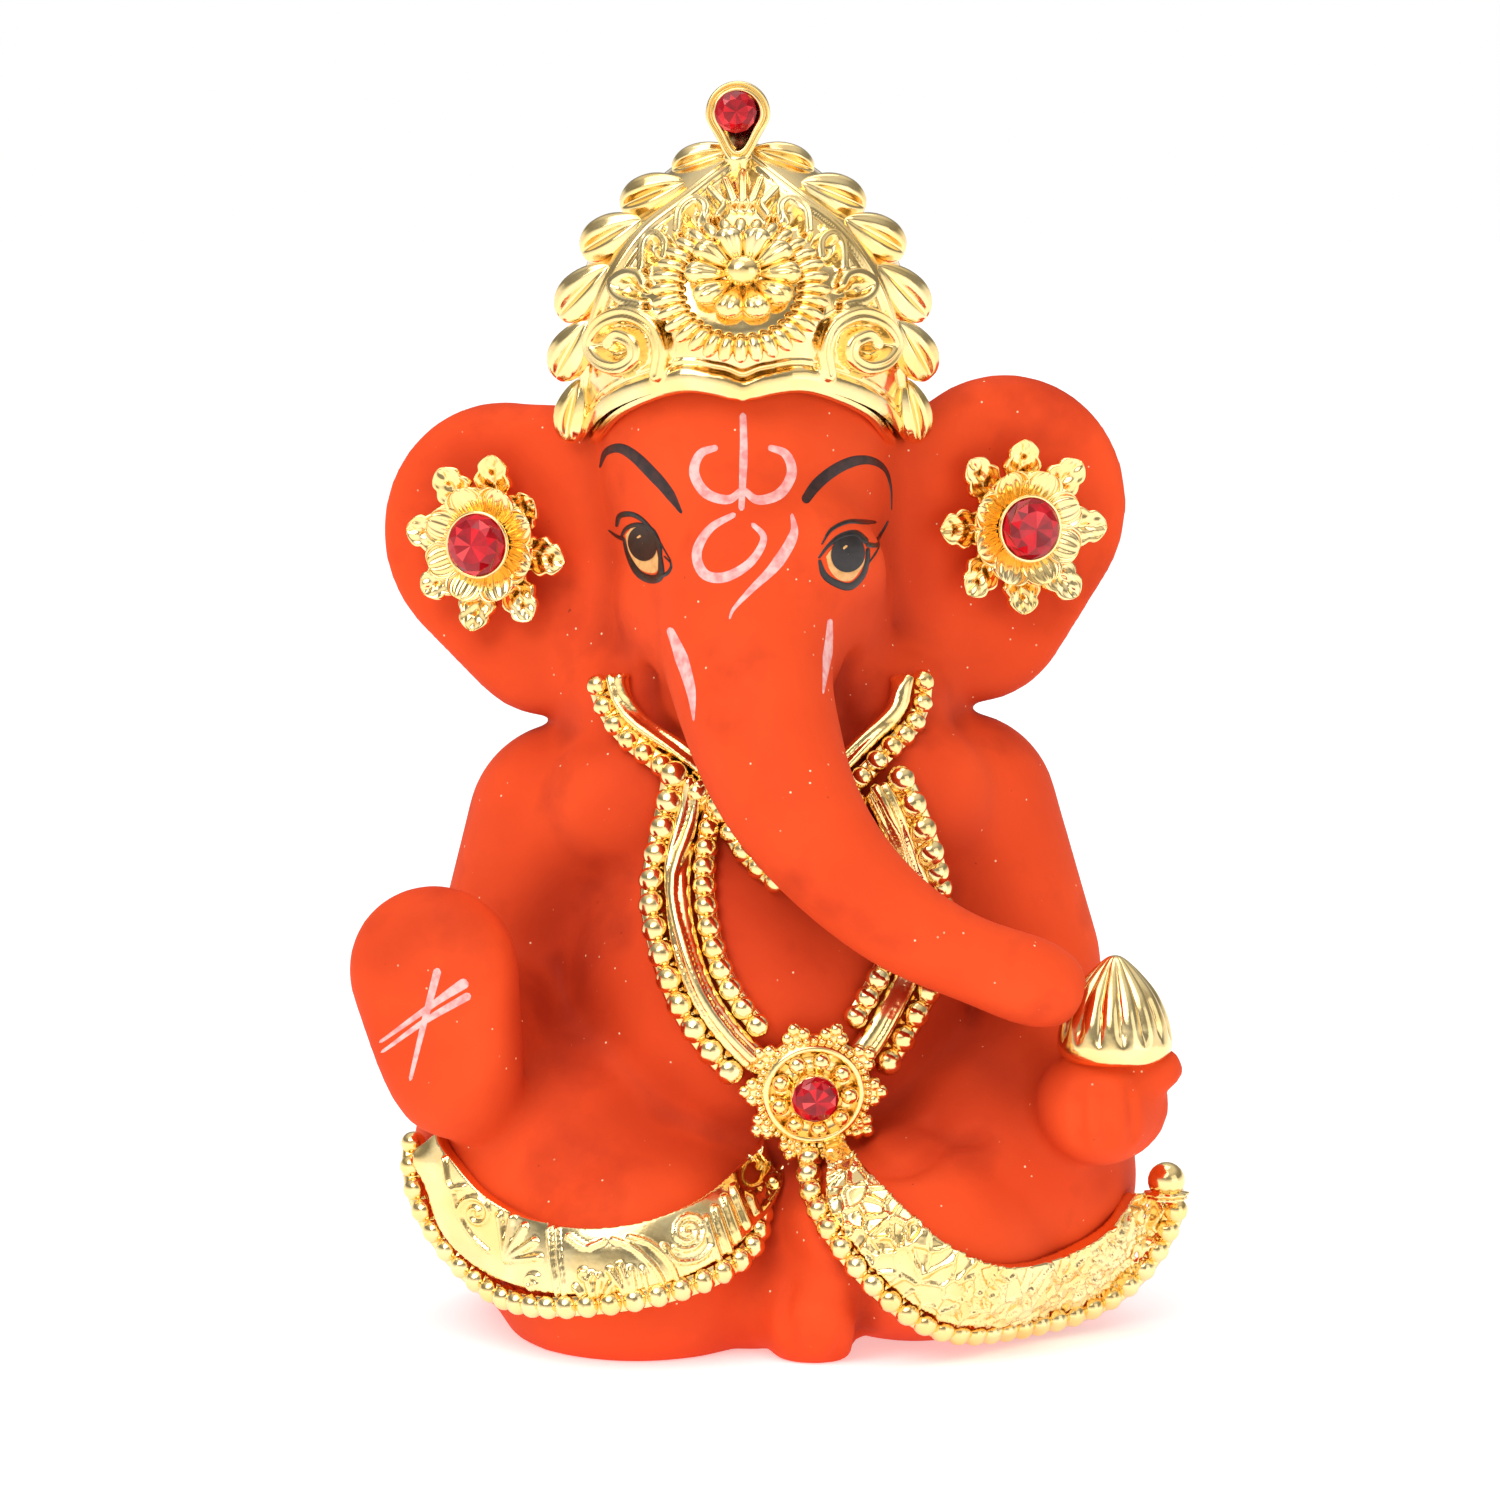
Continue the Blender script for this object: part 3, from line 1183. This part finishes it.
def scroll_features():
    """Everything raised on the right border, as lines with a half-width and a height."""
    features = [(smooth_line(curve, 16), *SCROLL_LINE) for curve in SCROLL_CURVES]
    features += [(spiral(*shape), *SCROLL_LINE) for shape in SCROLL_SPIRALS]
    for root, tips in SCROLL_FANS:
        features += [((root, tip), *SCROLL_LEAF) for tip in tips]
    for share in np.linspace(0, 1, SCROLL_BARS):
        bar = SCROLL_FIRST_BAR + (SCROLL_LAST_BAR - SCROLL_FIRST_BAR) * share
        features.append((bar, *SCROLL_LEAF))
    return features


def scroll_relief(clay):
    flat = (clay.points / MM - middle("pendant_gem"))[:, [0, 2]]
    height = np.zeros(len(flat))
    for line, half, rise in scroll_features():
        away = distance_to_line(flat, np.asarray(line, float))[0]
        height = np.maximum(height, ridge(away, half, rise))
    return height


def make_scroll_border():
    make_beads("border_right_pearls", "border_right_beads", 0.95)
    dress_band("border_right_relief", "border_right_strip", STRIP_VOXEL, scroll_relief, 1)


DENTS = 210
DENT_EDGE = 0.16        # half-width of the raised edge between two dents
DENT_RISE = 0.30
DENT_DEPTH = 0.16       # of the deepest dent


def hammered(gap, along):
    """Close round dents with raised edges between them, each at its own depth."""
    nearest = np.full(len(along), 9.0)
    second = nearest.copy()
    depth = np.zeros(len(along))
    for i in range(DENTS):
        x = shuffle.uniform(-1, along.max() + 1)
        z = shuffle.uniform(-0.5, 7.0)
        level = shuffle.random()
        away = np.hypot(along - x, gap - z)
        second = np.minimum(second, np.maximum(nearest, away))
        closer = away < nearest
        nearest = np.where(closer, away, nearest)
        depth = np.where(closer, level, depth)
    edge = np.exp(-((second - nearest) / DENT_EDGE) ** 2)
    return DENT_RISE * edge - DENT_DEPTH * depth * (1 - edge)


def make_hammered_border():
    row = make_beads("border_left_pearls", "border_left_beads")
    dress_band("border_left_relief", "border_left_strip", STRIP_VOXEL,
               lambda clay: hammered(*band_map(clay, row)), 2)
    make_border_knob()


def make_border_knob():
    """A ball on a ruffled collar at the left border's outer end."""
    knob = middle("border_left_finial")
    low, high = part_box("border_left_finial")
    radius = (high.z - low.z) / MM / 2
    parts = [ball(knob + UP * 0.3, np.full(3, radius * 0.86))]
    for drop, reach in ((0.25, 0.98), (0.45, 0.9)):
        ruffle = lathe(((radius * 0.5, -radius * drop), (radius * reach, -radius * drop - 0.12),
                        (radius * reach, -radius * drop - 0.3), (radius * 0.5, -radius * drop - 0.35)),
                       sides=60, flute=lambda height, turn: 1 + 0.07 * np.cos(9 * turn))
        parts.append(moved(ruffle, knob))
    make_piece("border_left_knob", merged(parts), GOLD, ("border_left_finial",))


def make_ridged_band(name, node, row, ridges):
    """A band with smooth ridges that run along its bead row at given distances from it."""
    def relief(clay):
        gap = band_map(clay, row)[0]
        rise = np.zeros(len(gap))
        for offset, half, height in ridges:
            rise = np.maximum(rise, ridge(gap - offset, half, height))
        return rise

    dress_band(name, node, BAND_VOXEL, relief, 1)


# Distance from the bead row, half-width and height of each ridge.
COLLAR_RIDGES = ((1.2, 0.35, 0.3), (2.1, 0.3, 0.25))
NECKLACE_RIDGES = ((1.15, 0.35, 0.35), (1.95, 0.35, 0.35))


def make_necklaces():
    collar_row = make_beads("collar_pearls", "collar_beads", 0.95)
    make_ridged_band("collar_ridges", "collar_band", collar_row, COLLAR_RIDGES)
    outer_row = make_beads("necklace_outer_pearls", "long_necklace_outer_beads")
    make_beads("necklace_inner_pearls", "long_necklace_inner_beads")
    make_ridged_band("necklace_ridges", "long_necklace_band", outer_row, NECKLACE_RIDGES)


# ---------------------------------------------------------------- the pendant
PENDANT_OUT = (0.08, -0.98, -0.14)
CLUSTERS = 10
# Radius and height of the pendant's plate, from its back over its rings to the stone's seat.
PENDANT_PROFILE = ((0.0, -0.3), (3.9, -0.3), (4.1, 0.2), (3.9, 0.7), (3.6, 0.85), (3.45, 1.2),
                   (3.2, 1.35), (3.0, 1.15), (2.9, 0.8), (1.9, 0.8), (1.7, 1.5), (1.62, 2.1),
                   (1.5, 2.25), (1.35, 2.1), (0.0, 2.0))


def cluster():
    """Three little balls and a stalk that make one scallop of the pendant's edge, along +X."""
    parts = [ball((0.5, 0.0, 0.25), (0.9, 0.75, 0.50))]
    spots = ((0.85, -0.55), (0.85, 0.55), (1.35, 0.0))
    parts += [ball((x, y, 0.40), (0.50, 0.50, 0.50)) for x, y in spots]
    return merged(parts)


def make_pendant():
    out = unit(PENDANT_OUT)
    axes = frame_axes(out)
    foot = middle("pendant_gem") - out * 2.4
    plate = lathe(PENDANT_PROFILE)
    rope = [ball((3.75 * math.cos(t), 3.75 * math.sin(t), 0.95), (0.26, 0.26, 0.26), rings=8, sides=10)
            for t in turns(44)]
    pearls = [ball((2.42 * math.cos(t), 2.42 * math.sin(t), 1.25), (0.62, 0.62, 0.62))
              for t in turns(9) + 0.5]
    edge = spun([cluster()] * CLUSTERS, 3.3, 0.15, 0.3)
    part = moved(merged([plate] + rope + pearls + edge), foot, axes)
    make_piece("pendant_flower", part, GOLD, ("pendant_disc",))
    make_stone("pendant_stone", "pendant_gem", out)


# ---------------------------------------------------------------- the modak
PLEATS = 15
MODAK_PROFILE = ((0.0, 0.0), (2.8, 0.05), (3.6, 0.35), (3.9, 1.0), (3.88, 1.8), (3.55, 3.2),
                 (2.85, 4.7), (1.8, 6.0), (0.9, 6.85), (0.35, 7.2), (0.0, 7.25))


def pleated(height, turn):
    """Pleats that open out from the tip and fade into a smooth band near the foot."""
    strength = np.interp(height, (0.0, 1.4, 2.4, 6.0, 7.2), (0.0, 0.0, 0.10, 0.13, 0.05))
    return 1 - strength * (1 - np.abs(np.cos(PLEATS * turn / 2 + 0.12 * height)) ** 0.7)


def make_modak():
    low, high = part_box("modak")
    foot = np.array((middle("modak")[0], middle("modak")[1], low.z / MM))
    part = moved(lathe(smooth_line(MODAK_PROFILE, 70), sides=240, flute=pleated), foot)
    make_piece("modak_pleats", part, GOLD, ("modak",))


make_crown()
make_stone("crown_stone", "crown_gem", FRONT)
make_earring(-1, RIGHT_LEAVES)
make_earring(1, LEFT_LEAVES)
make_necklaces()
make_pendant()
make_modak()
make_scroll_border()
make_hammered_border()


# ---------------------------------------------------------------- studio
CAMERA_ELEVATION = 6.0
CAMERA_DISTANCE = 351.6
CAMERA_AIM_Z = 39.8
CAMERA_AIM_ASIDE = 0.48     # from the middle of the crown's rosette
CAMERA_LENS = 120.0


LIGHT_AIM = (0, 0, 40)
AREA_LIGHTS = (         # name, place, size, power
    ("key", (-190, -260, 260), 170, 0.30),
    ("fill", (260, -220, 120), 220, 0.13),
    ("top", (20, 40, 330), 160, 0.14),
)
DAYLIGHT_POWER = 1.1
FLOOR_HALF = 40.0       # metres, so that its edge is out of sight


def area_light(name, place, size, power):
    light = bpy.data.lights.new(name, "AREA")
    light.size = size * MM
    light.energy = power
    lamp = bpy.data.objects.new(name, light)
    bpy.context.scene.collection.objects.link(lamp)
    lamp.location = Vector(place) * MM
    lamp.rotation_euler = (Vector(LIGHT_AIM) - Vector(place)).to_track_quat("-Z", "Y").to_euler()


def sky():
    world = bpy.data.worlds.new("soft_white")
    bpy.context.scene.world = world
    world.use_nodes = True
    tree = world.node_tree
    background = tree.nodes["Background"]
    heading = tree.nodes.new("ShaderNodeTexCoord").outputs["Generated"]
    parts = tree.nodes.new("ShaderNodeSeparateXYZ")
    tree.links.new(heading, parts.inputs["Vector"])
    levels = ramp(tree, parts.outputs["Z"], [(0.0, grey(1.0)), (0.10, grey(1.0)), (0.30, grey(0.22)),
                                             (0.55, grey(0.30)), (0.80, grey(0.75))])
    tree.links.new(levels, background.inputs["Color"])
    background.inputs["Strength"].default_value = 1.0


def lights():
    for lamp in AREA_LIGHTS:
        area_light(*lamp)
    daylight = bpy.data.lights.new("even_daylight", "SUN")
    daylight.energy = DAYLIGHT_POWER
    daylight.angle = math.radians(50)
    sun = bpy.data.objects.new("even_daylight", daylight)
    sun.rotation_euler = (math.radians(40), 0, math.radians(-25))
    bpy.context.scene.collection.objects.link(sun)


def white_sweep():
    floor_mesh = bpy.data.meshes.new("floor")
    half = FLOOR_HALF
    floor_mesh.from_pydata([(-half, -half, 0), (half, -half, 0), (half, half, 0), (-half, half, 0)],
                           [], [(0, 1, 2, 3)])
    floor_mesh.materials.append(white_floor())
    floor = bpy.data.objects.new("floor", floor_mesh)
    bpy.context.scene.collection.objects.link(floor)


def camera():
    data = bpy.data.cameras.new("camera")
    data.lens = CAMERA_LENS
    data.clip_start, data.clip_end = 0.01, 20.0
    eye = bpy.data.objects.new("camera", data)
    bpy.context.scene.collection.objects.link(eye)
    aim = Vector((middle("crown_rosette")[0] + CAMERA_AIM_ASIDE,
                  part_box("crown_shell")[1].y / MM - 1.0, CAMERA_AIM_Z))
    tilt = math.radians(CAMERA_ELEVATION)
    back = Vector((0, -math.cos(tilt), math.sin(tilt)))
    eye.location = (aim + back * CAMERA_DISTANCE) * MM
    eye.rotation_euler = (-back).to_track_quat("-Z", "Y").to_euler()
    bpy.context.scene.camera = eye


bpy.context.scene.view_settings.view_transform = "Standard"
sky()
lights()
white_sweep()
camera()
